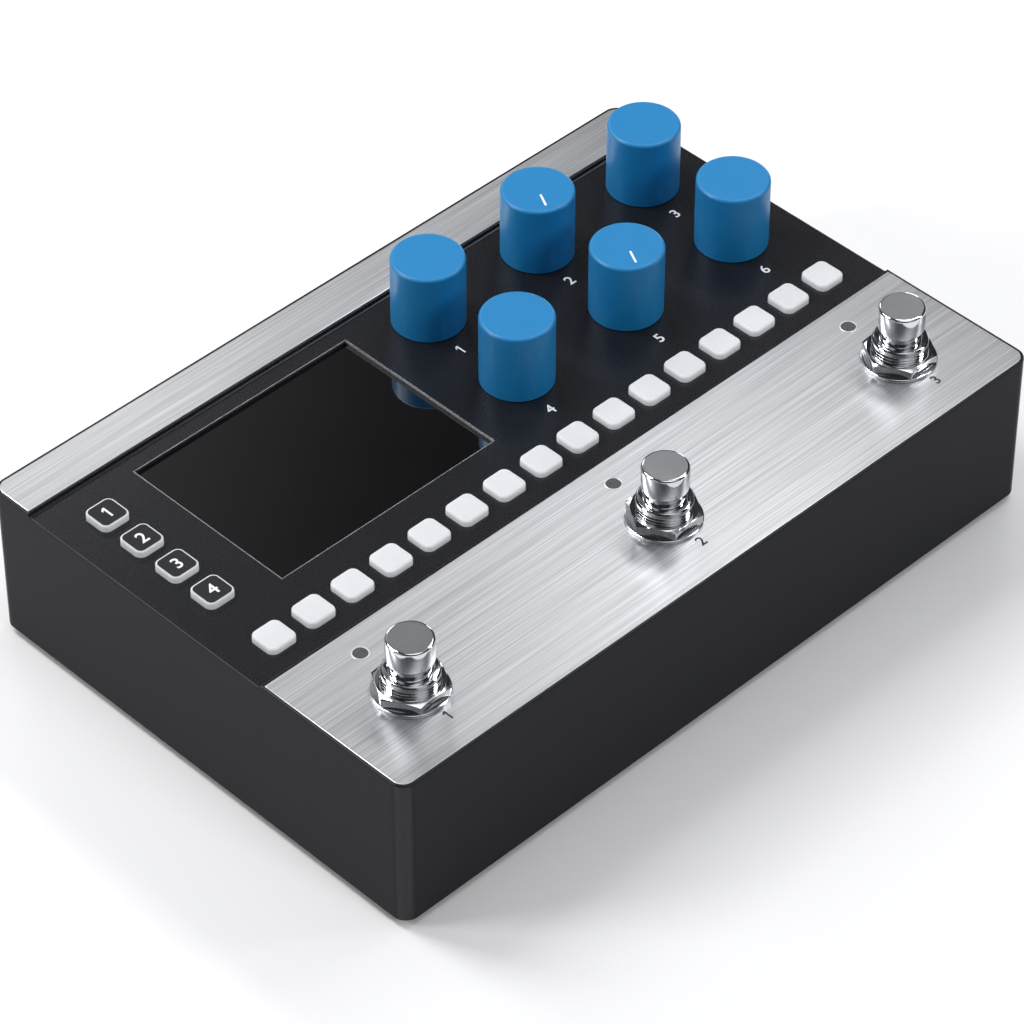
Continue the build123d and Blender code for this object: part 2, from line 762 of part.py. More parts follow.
# Light pipes of the status lights: flush with the sheet above, standing on the panel board below.
with BuildPart() as status_lights:
    with BuildSketch(Plane.XY.offset(board_top_z)):
        with Locations(*light_places):
            Circle(light_diameter / 2)
    extrude(amount=rim_z - board_top_z)
    with BuildSketch(Plane.XY.offset(ceiling_z)):
        with Locations(*light_places):
            Circle(light_collar_diameter / 2)
    extrude(amount=-light_collar_height)
save(status_lights, "status_lights")

# Panel board under the ceiling.
board_depth = board_back_y - board_front_y
board_mid_y = (board_back_y + board_front_y) / 2
with BuildPart() as panel_board:
    with BuildSketch(Plane.XY.offset(board_bottom_z)):
        with Locations((0, board_mid_y)):
            Rectangle(board_width, board_depth)
        with Locations(*post_places):
            Circle(board_screw_diameter / 2 + screw_gap, mode=Mode.SUBTRACT)
    extrude(amount=board_thickness)
save(panel_board, "panel_board")

# Screws that hold the panel board to its posts.
with BuildPart() as board_screws:
    with BuildSketch(Plane.XY.offset(board_bottom_z)):
        with Locations(*post_places):
            Circle(board_screw_diameter / 2)
    extrude(amount=board_screw_length)
    with BuildSketch(Plane.XY.offset(board_bottom_z)):
        with Locations(*post_places):
            Circle(board_screw_head / 2)
    extrude(amount=-board_screw_head_height)
save(board_screws, "board_screws")

# Jack board along the back wall, notched round the boss there.
jack_board_back_y = back_inner_y - jack_board_gap
jack_board_front_y = jack_board_back_y - jack_board_depth
jack_board_width = inner_width - 2 * jack_board_side_gap
with BuildPart() as jack_board:
    with BuildSketch(Plane.XY.offset(jack_board_top_z - board_thickness)):
        with Locations((0, jack_board_back_y)):
            Rectangle(jack_board_width, jack_board_depth, align=(Align.CENTER, Align.MAX))
        with Locations((0, boss_y)):
            Circle(boss_diameter / 2 + boss_notch_gap, mode=Mode.SUBTRACT)
            Rectangle(
                boss_diameter + 2 * boss_notch_gap,
                boss_inset,
                align=(Align.CENTER, Align.MIN),
                mode=Mode.SUBTRACT,
            )
    extrude(amount=board_thickness)
save(jack_board, "jack_board")

# Pin header that joins the two boards.
link_place = (link_side_inset - jack_board_width / 2, jack_board_front_y + link_front_inset)
with BuildPart() as board_link:
    with BuildSketch(Plane.XY.offset(jack_board_top_z)):
        with Locations(link_place):
            Rectangle(link_width, link_depth)
    extrude(amount=board_bottom_z - jack_board_top_z)
save(board_link, "board_link")

# Audio jacks: a moulded body behind the wall and a threaded bush through it.
audio_face_y = back_wall_y + audio_jack_proud
with BuildPart() as audio_jacks:
    with BuildSketch(at_back(back_inner_y)):
        with Locations(*[(-x, audio_z) for x in audio_xs]):
            Rectangle(audio_jack_body_width, audio_jack_body_height)
    extrude(amount=-audio_jack_body_depth)
    with BuildSketch(at_back(back_inner_y)):
        with Locations(*[(-x, audio_z) for x in audio_xs]):
            Circle(audio_jack_bush / 2)
    extrude(amount=audio_face_y - back_inner_y)
    with BuildSketch(at_back(audio_face_y)):
        with Locations(*[(-x, audio_z) for x in audio_xs]):
            Circle(audio_jack_bore / 2)
    extrude(amount=-audio_jack_bore_depth, mode=Mode.SUBTRACT)
save(audio_jacks, "audio_jacks")

# Nuts of the audio jacks, outside the back wall.
jack_nut_shape = hex_nut(jack_nut_flats, jack_nut_thickness, audio_jack_bush + 2 * screw_gap)
with BuildPart() as jack_nuts:
    for x in audio_xs:
        add(jack_nut_shape.rotate(Axis.Z, 30).moved(Location((x, back_wall_y, audio_z), (-90, 0, 0))))
save(jack_nuts, "jack_nuts")

# Small jacks, with plain noses flush with the wall.
with BuildPart() as sync_jacks:
    with BuildSketch(at_back(back_inner_y)):
        with Locations(*[(-x, sync_z) for x in sync_xs]):
            Rectangle(sync_jack_body_width, sync_jack_body_height)
    extrude(amount=-sync_jack_body_depth)
    with BuildSketch(at_back(back_inner_y)):
        with Locations(*[(-x, sync_z) for x in sync_xs]):
            Circle(sync_jack_nose / 2)
    extrude(amount=wall)
    with BuildSketch(at_back(back_wall_y)):
        with Locations(*[(-x, sync_z) for x in sync_xs]):
            Circle(sync_jack_bore / 2)
    extrude(amount=-sync_jack_bore_depth, mode=Mode.SUBTRACT)
save(sync_jacks, "sync_jacks")

# USB-C socket: a rolled shell with its contact tongue.
usb_inner_width = usb_shell_width - 2 * usb_shell_wall
usb_inner_height = usb_shell_height - 2 * usb_shell_wall
usb_floor_y = back_wall_y - usb_shell_depth + usb_back_wall
with BuildPart() as usb_socket:
    with BuildSketch(at_back(back_wall_y)):
        with Locations((-usb_x, usb_z)):
            SlotOverall(usb_shell_width, usb_shell_height)
    extrude(amount=-usb_shell_depth)
    with BuildSketch(at_back(usb_floor_y)):
        with Locations((-usb_x, usb_z)):
            SlotOverall(usb_inner_width, usb_inner_height)
    extrude(amount=back_wall_y - usb_floor_y, mode=Mode.SUBTRACT)
    with BuildSketch(at_back(usb_floor_y)):
        with Locations((-usb_x, usb_z)):
            Rectangle(usb_tongue_width, usb_tongue_thickness)
    extrude(amount=usb_tongue_reach)
save(usb_socket, "usb_socket")

# Power socket: a round well with a centre pin.
power_floor_y = back_wall_y - power_bore_depth
with BuildPart() as power_socket:
    with BuildSketch(at_back(back_inner_y)):
        with Locations((-power_x, power_z)):
            Rectangle(power_body_width, power_body_height)
    extrude(amount=-power_body_depth)
    with BuildSketch(at_back(back_inner_y)):
        with Locations((-power_x, power_z)):
            Circle(power_nose / 2)
    extrude(amount=wall)
    with BuildSketch(at_back(back_wall_y)):
        with Locations((-power_x, power_z)):
            Circle(power_bore / 2)
    extrude(amount=-power_bore_depth, mode=Mode.SUBTRACT)
    with BuildSketch(at_back(power_floor_y)):
        with Locations((-power_x, power_z)):
            Circle(power_pin / 2)
    extrude(amount=power_bore_depth - power_pin_setback)
save(power_socket, "power_socket")
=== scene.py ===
import math

import bmesh
import bpy
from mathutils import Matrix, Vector


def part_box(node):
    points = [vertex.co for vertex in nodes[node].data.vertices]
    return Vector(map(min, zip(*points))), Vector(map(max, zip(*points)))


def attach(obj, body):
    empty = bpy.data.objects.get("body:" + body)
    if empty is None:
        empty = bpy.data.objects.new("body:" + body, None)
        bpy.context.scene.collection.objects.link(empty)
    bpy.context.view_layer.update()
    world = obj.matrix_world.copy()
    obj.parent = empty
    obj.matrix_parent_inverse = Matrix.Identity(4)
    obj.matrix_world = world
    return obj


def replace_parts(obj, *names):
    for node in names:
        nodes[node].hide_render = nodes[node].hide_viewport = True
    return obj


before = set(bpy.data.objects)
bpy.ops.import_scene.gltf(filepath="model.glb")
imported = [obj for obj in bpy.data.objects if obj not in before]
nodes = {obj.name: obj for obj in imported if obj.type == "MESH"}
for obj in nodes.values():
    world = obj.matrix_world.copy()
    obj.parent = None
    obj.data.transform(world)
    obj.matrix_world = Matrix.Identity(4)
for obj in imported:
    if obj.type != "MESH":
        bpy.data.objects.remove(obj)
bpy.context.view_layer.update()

# Drum machine pedal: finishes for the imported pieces, and the fine pieces that go on them.
# Metres, +Z up, front towards -Y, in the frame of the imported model.
mm = 0.001

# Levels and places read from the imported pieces
case_low, case_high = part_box("chassis")
rim_z = case_high.z
panel_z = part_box("control_nuts")[0].z
switch_names = ("left", "middle", "right")
knob_names = [f"{row}_{column}" for row in ("back", "front") for column in switch_names]
number_names = [f"number_key_{i}" for i in range(1, 5)]


def middle(node):
    """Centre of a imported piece, seen from above."""
    low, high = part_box(node)
    return (low.x + high.x) / 2, (low.y + high.y) / 2


switch_places = [middle(f"foot_button_{name}") for name in switch_names]
knob_places = {name: middle(f"knob_{name}") for name in knob_names}


# Finishes

grain_span = (0.3, 0.7)  # the values of a noise between which a grain runs


def new_finish(name, colour, roughness, metallic=0.0, specular=0.5):
    """Material with one shader whose plain values are set on its own sockets."""
    finish = bpy.data.materials.new(name)
    finish.use_nodes = True
    shader = finish.node_tree.nodes["Principled BSDF"]
    shader.inputs["Base Color"].default_value = (*colour, 1)
    shader.inputs["Roughness"].default_value = roughness
    shader.inputs["Metallic"].default_value = metallic
    shader.inputs["Specular IOR Level"].default_value = specular
    return finish, shader


def grain(finish, scale, detail=3.0):
    """Noise in the piece's own frame, with a scale in features per metre along each axis."""
    tree = finish.node_tree
    place = tree.nodes.new("ShaderNodeTexCoord")
    stretch = tree.nodes.new("ShaderNodeMapping")
    stretch.inputs["Scale"].default_value = scale
    noise = tree.nodes.new("ShaderNodeTexNoise")
    noise.inputs["Scale"].default_value = 1.0
    noise.inputs["Detail"].default_value = detail
    tree.links.new(place.outputs["Object"], stretch.inputs["Vector"])
    tree.links.new(stretch.outputs["Vector"], noise.inputs["Vector"])
    return noise.outputs["Fac"]


def blend_grains(finish, first, second, share):
    """Two grains laid over each other, the second with the given share."""
    mix = finish.node_tree.nodes.new("ShaderNodeMix")
    mix.inputs["Factor"].default_value = share
    finish.node_tree.links.new(first, mix.inputs["A"])
    finish.node_tree.links.new(second, mix.inputs["B"])
    return mix.outputs["Result"]


def vary_colour(finish, shader, source, dark, light, span=grain_span):
    """Base colour that runs from dark to light with a grain."""
    ramp = finish.node_tree.nodes.new("ShaderNodeValToRGB")
    for stop, position, colour in zip(ramp.color_ramp.elements, span, (dark, light)):
        stop.position = position
        stop.color = (*colour, 1)
    finish.node_tree.links.new(source, ramp.inputs["Fac"])
    finish.node_tree.links.new(ramp.outputs["Color"], shader.inputs["Base Color"])


def vary_roughness(finish, shader, source, smoothest, roughest, span=grain_span):
    """Roughness that runs between two values with a grain."""
    run = finish.node_tree.nodes.new("ShaderNodeMapRange")
    run.inputs["From Min"].default_value, run.inputs["From Max"].default_value = span
    run.inputs["To Min"].default_value = smoothest
    run.inputs["To Max"].default_value = roughest
    finish.node_tree.links.new(source, run.inputs["Value"])
    finish.node_tree.links.new(run.outputs["Result"], shader.inputs["Roughness"])


def raise_grain(finish, shader, source, height, strength=1.0):
    """Fine relief of the given height."""
    relief = finish.node_tree.nodes.new("ShaderNodeBump")
    relief.inputs["Strength"].default_value = strength
    relief.inputs["Distance"].default_value = height
    finish.node_tree.links.new(source, relief.inputs["Height"])
    finish.node_tree.links.new(relief.outputs["Normal"], shader.inputs["Normal"])


def fine_finish(name, dark, light, smoothest, roughest, features, height, metallic=0.0, specular=0.5):
    """Finish with one even grain in its colour, its roughness and its relief."""
    finish, shader = new_finish(name, light, roughest, metallic, specular)
    source = grain(finish, (features,) * 3)
    vary_colour(finish, shader, source, dark, light)
    vary_roughness(finish, shader, source, smoothest, roughest)
    raise_grain(finish, shader, source, height)
    return finish


def key_white_finish():
    """Milky moulding: an even grain, light that spreads inside it, and a faint painted glow that stands
    in for fill light on the keys' sides.
    """
    spread_share, spread_depth = 0.8, 4 * mm
    painted_glow_colour, painted_glow_strength = (0.96, 0.98, 1.0), 0.2
    finish = fine_finish(
        "key_white", (0.52, 0.53, 0.55), (0.56, 0.57, 0.59), 0.5, 0.6, 2200, 0.004 * mm)
    shader = finish.node_tree.nodes["Principled BSDF"]
    shader.inputs["Subsurface Weight"].default_value = spread_share
    shader.inputs["Subsurface Radius"].default_value = (1, 1, 1)
    shader.inputs["Subsurface Scale"].default_value = spread_depth
    # Painted glow: a faint even emission that brightens the keys' sides in place of fill light
    shader.inputs["Emission Color"].default_value = (*painted_glow_colour, 1)
    shader.inputs["Emission Strength"].default_value = painted_glow_strength
    return finish


def brushed_sheet_finish():
    """Long-grained aluminium: fine streaks along X, and highlights drawn out across them."""
    dark, light = (0.46, 0.47, 0.49), (0.715, 0.725, 0.745)
    smoothest, roughest = 0.32, 0.37
    fine_streaks, wide_streaks = (28, 4600, 28), (9, 1700, 9)
    wide_share, streak_detail, streak_span = 0.3, 2.0, (0.36, 0.64)
    relief_height, relief_strength = 0.004 * mm, 0.07
    drawn_out, quarter_turn = 0.65, 0.25
    finish, shader = new_finish("brushed_sheet", light, roughest, metallic=1.0)
    fine = grain(finish, fine_streaks, streak_detail)
    wide = grain(finish, wide_streaks, streak_detail)
    streaks = blend_grains(finish, fine, wide, wide_share)
    vary_colour(finish, shader, streaks, dark, light, streak_span)
    vary_roughness(finish, shader, streaks, smoothest, roughest, streak_span)
    raise_grain(finish, shader, streaks, relief_height, relief_strength)
    shader.inputs["Anisotropic"].default_value = drawn_out
    shader.inputs["Anisotropic Rotation"].default_value = quarter_turn
    along = finish.node_tree.nodes.new("ShaderNodeTangent")
    along.direction_type = "UV_MAP"
    finish.node_tree.links.new(along.outputs["Tangent"], shader.inputs["Tangent"])
    return finish


def case_paint_finish():
    """Black paint: satin on the control panel, dull on the outer walls."""
    wall_from, wall_to, wall_dullness = -0.35 * mm, -0.05 * mm, 0.4
    finish = fine_finish(
        "case_paint", (0.0085, 0.009, 0.0115), (0.012, 0.0125, 0.0155), 0.24, 0.32, 3500, 0.0025 * mm,
        specular=0.33)
    tree = finish.node_tree

    def reach(value, half):
        """How far a place lies outside the middle of the case, less half the case's size."""
        size = tree.nodes.new("ShaderNodeMath")
        size.operation = "ABSOLUTE"
        past = tree.nodes.new("ShaderNodeMath")
        past.operation = "SUBTRACT"
        past.inputs[1].default_value = half
        tree.links.new(value, size.inputs[0])
        tree.links.new(size.outputs["Value"], past.inputs[0])
        return past.outputs["Value"]

    place = tree.nodes.new("ShaderNodeTexCoord")
    middle_place = tree.nodes.new("ShaderNodeMapping")
    middle_place.inputs["Location"].default_value = -(case_low + case_high) / 2
    axes = tree.nodes.new("ShaderNodeSeparateXYZ")
    farther = tree.nodes.new("ShaderNodeMath")
    farther.operation = "MAXIMUM"
    wall = tree.nodes.new("ShaderNodeMapRange")
    wall.inputs["From Min"].default_value = wall_from
    wall.inputs["From Max"].default_value = wall_to
    wall.inputs["To Max"].default_value = wall_dullness
    total = tree.nodes.new("ShaderNodeMath")
    shader = tree.nodes["Principled BSDF"]
    panel_roughness = shader.inputs["Roughness"].links[0].from_socket
    half = (case_high - case_low) / 2
    tree.links.new(place.outputs["Object"], middle_place.inputs["Vector"])
    tree.links.new(middle_place.outputs["Vector"], axes.inputs["Vector"])
    tree.links.new(reach(axes.outputs["X"], half.x), farther.inputs[0])
    tree.links.new(reach(axes.outputs["Y"], half.y), farther.inputs[1])
    tree.links.new(farther.outputs["Value"], wall.inputs["Value"])
    tree.links.new(wall.outputs["Result"], total.inputs[0])
    tree.links.new(panel_roughness, total.inputs[1])
    tree.links.new(total.outputs["Value"], shader.inputs["Roughness"])
    return finish


case_paint = case_paint_finish()
brushed_sheet = brushed_sheet_finish()
key_white = key_white_finish()

# Each even finish: dark and light colour, smoothest and roughest, features per metre, relief height
lid_paint = fine_finish(
    "lid_paint", (0.012, 0.012, 0.014), (0.022, 0.022, 0.025), 0.5, 0.62, 2500, 0.01 * mm)
knob_blue = fine_finish(
    "knob_blue", (0.0095, 0.203, 0.48), (0.014, 0.231, 0.526), 0.34, 0.42, 2600, 0.002 * mm)
inlay_dark = fine_finish(
    "inlay_dark", (0.012, 0.0125, 0.0155), (0.019, 0.0195, 0.023), 0.5, 0.62, 4000, 0.003 * mm,
    specular=0.25)
print_white = fine_finish(
    "print_white", (0.88, 0.88, 0.9), (0.93, 0.93, 0.95), 0.5, 0.6, 6000, 0.002 * mm)
print_dark = fine_finish(
    "print_dark", (0.022, 0.023, 0.027), (0.035, 0.036, 0.04), 0.45, 0.6, 6000, 0.002 * mm)
chrome = fine_finish(
    "chrome", (0.7, 0.71, 0.74), (0.78, 0.79, 0.81), 0.08, 0.1, 45, 0.00002 * mm, metallic=1.0)
# Satin chrome of the cap tops: rougher than the polished chrome, and its colour darkened as painted
# shade on the tops
shaded_satin_chrome = fine_finish(
    "shaded_satin_chrome", (0.4, 0.41, 0.43), (0.45, 0.46, 0.48), 0.29, 0.32, 70, 0.00002 * mm, metallic=1.0)
# Light metal of the ring round the window: a painted highlight of the window's edge
highlight_ring_metal = fine_finish(
    "highlight_ring_metal", (0.4, 0.41, 0.43), (0.5, 0.51, 0.53), 0.34, 0.4, 1200, 0.0002 * mm, metallic=1.0)
bezel_metal = fine_finish(
    "bezel_metal", (0.84, 0.85, 0.87), (0.9, 0.91, 0.93), 0.4, 0.48, 1200, 0.0002 * mm, metallic=1.0)
cover_glass = fine_finish(
    "cover_glass", (0.002, 0.002, 0.0025), (0.003, 0.003, 0.0035), 0.02, 0.04, 60, 0.0001 * mm,
    specular=0.8)
coated_glass_ior = 2.0
cover_glass.node_tree.nodes["Principled BSDF"].inputs["IOR"].default_value = coated_glass_ior
light_lens = fine_finish(
    "light_lens", (0.05, 0.05, 0.055), (0.12, 0.12, 0.13), 0.25, 0.4, 3500, 0.004 * mm)
foot_rubber = fine_finish(
    "foot_rubber", (0.014, 0.014, 0.015), (0.026, 0.026, 0.028), 0.7, 0.85, 3000, 0.02 * mm,
    specular=0.3)
screw_steel = fine_finish(
    "screw_steel", (0.05, 0.05, 0.055), (0.09, 0.09, 0.095), 0.3, 0.42, 2500, 0.003 * mm, metallic=1.0)
steel = fine_finish(
    "steel", (0.5, 0.5, 0.51), (0.62, 0.62, 0.63), 0.25, 0.38, 2000, 0.003 * mm, metallic=1.0)
brass = fine_finish(
    "brass", (0.7, 0.5, 0.24), (0.8, 0.58, 0.28), 0.22, 0.32, 2000, 0.002 * mm, metallic=1.0)
socket_black = fine_finish(
    "socket_black", (0.012, 0.012, 0.013), (0.022, 0.022, 0.024), 0.4, 0.52, 3000, 0.006 * mm)
board_green = fine_finish(
    "board_green", (0.008, 0.06, 0.03), (0.015, 0.1, 0.05), 0.3, 0.45, 700, 0.01 * mm)
display_dark = fine_finish(
    "display_dark", (0.006, 0.006, 0.007), (0.01, 0.01, 0.011), 0.2, 0.35, 1500, 0.002 * mm)

finishes = {
    "case_paint": case_paint,
    "lid_paint": lid_paint,
    "brushed_sheet": brushed_sheet,
    "screw_steel": screw_steel,
    "foot_rubber": foot_rubber,
    "cover_glass": cover_glass,
    "display": display_dark,
    "key_white": key_white,
    "number_key": key_white,
    "switch_black": socket_black,
    "knob_blue": knob_blue,
    "spindle_steel": steel,
    "control_metal": brass,
    "chrome": chrome,
    "light_lens": light_lens,
    "board_green": board_green,
    "socket_black": socket_black,
    "usb_shell": steel,
}
for node in nodes.values():
    for place in node.material_slots:
        slot_name = place.material.name.split(".")[0]
        place.material = finishes[slot_name]


# Modelling steps

level_slack = 0.001 * mm  # heights closer than this are the same ring
plumb_slack = 0.0001 * mm  # an edge that leans by less than this is upright
overshoot = 1 * mm  # how far a cutting tool reaches past the piece


def take(piece):
    """Make one piece the only selected and the active one."""
    bpy.ops.object.select_all(action="DESELECT")
    piece.select_set(True)
    bpy.context.view_layer.objects.active = piece
    return piece


def started(name):
    """Name the primitive that was just added."""
    piece = bpy.context.active_object
    piece.name = name
    piece.data.name = name
    return take(piece)


def settle(piece):
    """Put a piece's place, turn and scale into its mesh."""
    take(piece)
    bpy.ops.object.transform_apply(location=True, rotation=True, scale=True)
    return piece


def everything(element):
    """Test that every element passes."""
    return True


def pick(piece, kind, test):
    """Enter edit mode with only the faces, edges or points that pass a test selected."""
    take(piece)
    bpy.ops.object.mode_set(mode="EDIT")
    bpy.ops.mesh.select_mode(type=kind)
    bpy.ops.mesh.select_all(action="DESELECT")
    shape = bmesh.from_edit_mesh(piece.data)
    for element in {"FACE": shape.faces, "EDGE": shape.edges, "VERT": shape.verts}[kind]:
        element.select_set(bool(test(element)))
    shape.select_flush_mode()
    bmesh.update_edit_mesh(piece.data)


def done():
    """Leave edit mode."""
    bpy.ops.object.mode_set(mode="OBJECT")


def middle_of(element):
    """Middle of an edge or a face."""
    points = [point.co for point in element.verts]
    return sum(points, Vector()) / len(points)


def apply_modifier(piece, kind, **values):
    """Add a modifier, set it and apply it."""
    take(piece)
    modifier = piece.modifiers.new(kind.lower(), kind)
    for key, value in values.items():
        setattr(modifier, key, value)
    bpy.ops.object.modifier_apply(modifier=modifier.name)


def cut(piece, tool, operation="DIFFERENCE"):
    """Cut a piece with a tool shape, or keep what is in both, and remove the tool."""
    apply_modifier(piece, "BOOLEAN", object=tool, operation=operation, solver="EXACT")
    bpy.data.objects.remove(tool)


def break_edges(piece, width, angle, segments=2):
    """Round every edge that turns by more than an angle, given in degrees."""
    apply_modifier(piece, "BEVEL", width=width, segments=segments, limit_method="ANGLE",
                   angle_limit=math.radians(angle))


def smooth(piece, angle):
    """Shade round stretches smooth and leave edges that turn by more than an angle sharp."""
    take(piece)
    bpy.ops.object.shade_smooth_by_angle(angle=math.radians(angle))


def dress(piece, finish, body):
    """Give a finished piece its material and the body it rides on."""
    piece.data.materials.clear()
    piece.data.materials.append(finish)
    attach(piece, body)


def turned(name, centre, profile, sides=96):
    """Turned piece on an upright axis: a disc drawn out along (radius, height) steps."""
    radius, height = profile[0]
    bpy.ops.object.select_all(action="DESELECT")
    bpy.ops.mesh.primitive_circle_add(vertices=sides, radius=radius, fill_type="NGON",
                                      location=(*centre, height))
    piece = settle(started(name))
    pick(piece, "FACE", everything)
    for next_radius, next_height in profile[1:]:
        bpy.ops.mesh.extrude_region_move(
            TRANSFORM_OT_translate={"value": (0, 0, next_height - height)})
        share = next_radius / radius
        bpy.ops.transform.resize(value=(share, share, 1),
                                 center_override=Vector((*centre, next_height)))
        radius, height = next_radius, next_height
    bpy.ops.mesh.select_all(action="SELECT")
    bpy.ops.mesh.normals_make_consistent(inside=False)
    done()
    return piece


def round_ring(piece, height, width, segments):
    """Round the ring of edges that lies at the given height."""
    def on_ring(edge):
        level = all(abs(point.co.z - height) < level_slack for point in edge.verts)
        return level and len(edge.link_faces) == 2
    pick(piece, "EDGE", on_ring)
    bpy.ops.mesh.bevel(offset=width, segments=segments, profile=0.5, affect="EDGES")
    done()


def plate(name, low, high):
    """Flat block between two corners."""
    bpy.ops.object.select_all(action="DESELECT")
    bpy.ops.mesh.primitive_cube_add(size=1, location=(low + high) / 2)
    piece = started(name)
    piece.scale = high - low
    return settle(piece)


def round_corners(piece, radius, test, segments=10):
    """Round the upright edges of a block whose middles pass a test."""
    def upright(edge):
        run = edge.verts[0].co - edge.verts[1].co
        return abs(run.x) < plumb_slack and abs(run.y) < plumb_slack and test(middle_of(edge))
    pick(piece, "EDGE", upright)
    bpy.ops.mesh.bevel(offset=radius, segments=segments, profile=0.5, affect="EDGES")
    done()


def rod(name, centre, radius, low_z, high_z, top_radius=None, sides=96):
    """Round tool shape between two heights."""
    bpy.ops.object.select_all(action="DESELECT")
    bpy.ops.mesh.primitive_cone_add(vertices=sides, radius1=radius, radius2=top_radius or radius,
                                    depth=high_z - low_z, location=(*centre, (low_z + high_z) / 2))
    return settle(started(name))


def joined(name, pieces):
    """Several shapes as one piece."""
    take(pieces[0])
    for piece in pieces[1:]:
        piece.select_set(True)
    bpy.ops.object.join()
    return started(name)


# Brushed sheets, with a fine broken edge and open holes

sheet_corner = 2.75 * mm
corner_reach = 2 * mm
sheet_edge = 0.13 * mm
switch_hole = 6.1 * mm
light_hole = 1.65 * mm
light_hole_sides = 48
sink_depth, sink_flare, sink_over = 0.2 * mm, 0.22 * mm, 0.02 * mm
unwrap_cube = 0.1

light_low, light_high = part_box("status_lights")
light_y = (light_low.y + light_high.y) / 2
light_places = [(x, light_y) for x, y in switch_places]


def brushed_piece(name, node, switch_holes=(), light_holes=()):
    """Sheet in place of a packed one: rounded where the case is rounded, holed, its edges broken."""
    low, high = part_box(node)
    piece = plate(name, low, high)
    outer = case_low.y if low.y + high.y < 0 else case_high.y
    round_corners(piece, sheet_corner, lambda place: abs(place.y - outer) < corner_reach)
    for place in switch_holes:
        cut(piece, rod("hole", place, switch_hole, low.z - overshoot, high.z + overshoot))
    for place in light_holes:
        cut(piece, rod("hole", place, light_hole, low.z - overshoot, high.z + overshoot,
                       sides=light_hole_sides))
        cut(piece, rod("sink", place, light_hole, high.z - sink_depth, high.z + sink_over,
                       light_hole + sink_flare, light_hole_sides))
    break_edges(piece, sheet_edge, angle=50)
    pick(piece, "FACE", everything)
    bpy.ops.uv.cube_project(cube_size=unwrap_cube)
    done()
    smooth(piece, angle=20)
    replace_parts(piece, node)
    dress(piece, brushed_sheet, "case")


brushed_piece("front_sheet", "front_plate", switch_places, light_places)
brushed_piece("back_sheet", "back_plate")


# Painted highlight round the window: a thin light metal ring on the panel, where the window's edge would
# catch the light

def window_highlight_ring():
    """Thin rectangular ring outside the window's chamfer, whose light metal paints the highlight of the
    window's edge.
    """
    glass_low, glass_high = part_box("screen_glass")
    glass_lip, chamfer, width = 2.0 * mm, 0.25 * mm, 0.19 * mm
    sunk, proud = 0.05 * mm, 0.03 * mm
    inner = Vector((glass_lip - chamfer, glass_lip - chamfer, 0))
    edge = Vector((width, width, 0))
    low = Vector((*(glass_low + inner)[:2], panel_z - sunk))
    high = Vector((*(glass_high - inner)[:2], panel_z + proud))
    past = Vector((0, 0, overshoot))
    highlight_ring = plate("window_highlight_ring", low - edge, high + edge)
    cut(highlight_ring, plate("opening", low - past, high + past))
    dress(highlight_ring, highlight_ring_metal, "case")


window_highlight_ring()


# Foot switches: buttons, threaded bushes, nuts and washers

button_low, button_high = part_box("foot_button_left")
bush_low, bush_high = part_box("foot_switch_bodies")
washer_low, washer_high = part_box("foot_switch_washers")
nut_low, nut_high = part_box("foot_switch_nuts")

cap_radius = (button_high.x - button_low.x) / 2
cap_low_z = button_high.z - 5.3 * mm
cap_under_round, cap_edge_round, cap_top_inset = 0.25 * mm, 0.55 * mm, 0.05 * mm
stem_radius, stem_gap = 4.25 * mm, 0.07 * mm
groove_low_z, groove_high_z = cap_low_z - 0.9 * mm, cap_low_z - 0.6 * mm
groove_slope, groove_depth = 0.05 * mm, 0.12 * mm

bush_radius, bush_chamfer, bush_edge = 6.0 * mm, 0.35 * mm, 0.05 * mm
thread_low_z, thread_high_z = rim_z + 2.8 * mm, bush_high.z - 0.9 * mm
thread_pitch, thread_depth = 0.75 * mm, 0.36 * mm
root_start, root_end, crest_start = 0.33, 0.4, 0.87  # shares of one pitch
box_top_z = bush_low.z + 17.0 * mm
box_half, box_corner, bush_root = 8.4 * mm, 1.2 * mm, 0.5 * mm
bore_low_z = bush_low.z + 6 * mm

clamp_hole = 6.05 * mm
nut_flats, nut_edge = 14.0 * mm, 0.08 * mm
nut_height = nut_high.z - washer_high.z
cone_margin, cone_slope, cone_slack = 2 * mm, 1.6, 0.001 * mm
washer_radius, washer_edge = 8.1 * mm, 0.18 * mm


def foot_button(name):
    """Turned button: stem, a fine groove under the cap, and the cap with a broad polished edge."""
    def on_top(normal, place):
        """Whether a face lies in the cap's flat top."""
        return normal.z > 0.999 and place.z > button_high.z - 0.01 * mm

    node = f"foot_button_{name}"
    piece = turned(f"switch_button_{name}", middle(node), [
        (stem_radius, button_low.z),
        (stem_radius, groove_low_z),
        (stem_radius - groove_depth, groove_low_z + groove_slope),
        (stem_radius - groove_depth, groove_high_z - groove_slope),
        (stem_radius, groove_high_z),
        (stem_radius, cap_low_z),
        (cap_radius, cap_low_z),
        (cap_radius, button_high.z),
    ])
    round_ring(piece, cap_low_z, cap_under_round, 3)
    round_ring(piece, button_high.z, cap_edge_round, 6)
    pick(piece, "FACE", lambda face: on_top(face.normal, middle_of(face)))
    bpy.ops.mesh.inset(thickness=cap_top_inset, depth=0)
    done()
    smooth(piece, angle=40)
    dress(piece, chrome, node)
    # The flat cap top takes the darker satin chrome: rougher, and painted shade on the top
    piece.data.materials.append(shaded_satin_chrome)
    for face in piece.data.polygons:
        face.material_index = int(on_top(face.normal, face.center))
    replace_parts(piece, node)


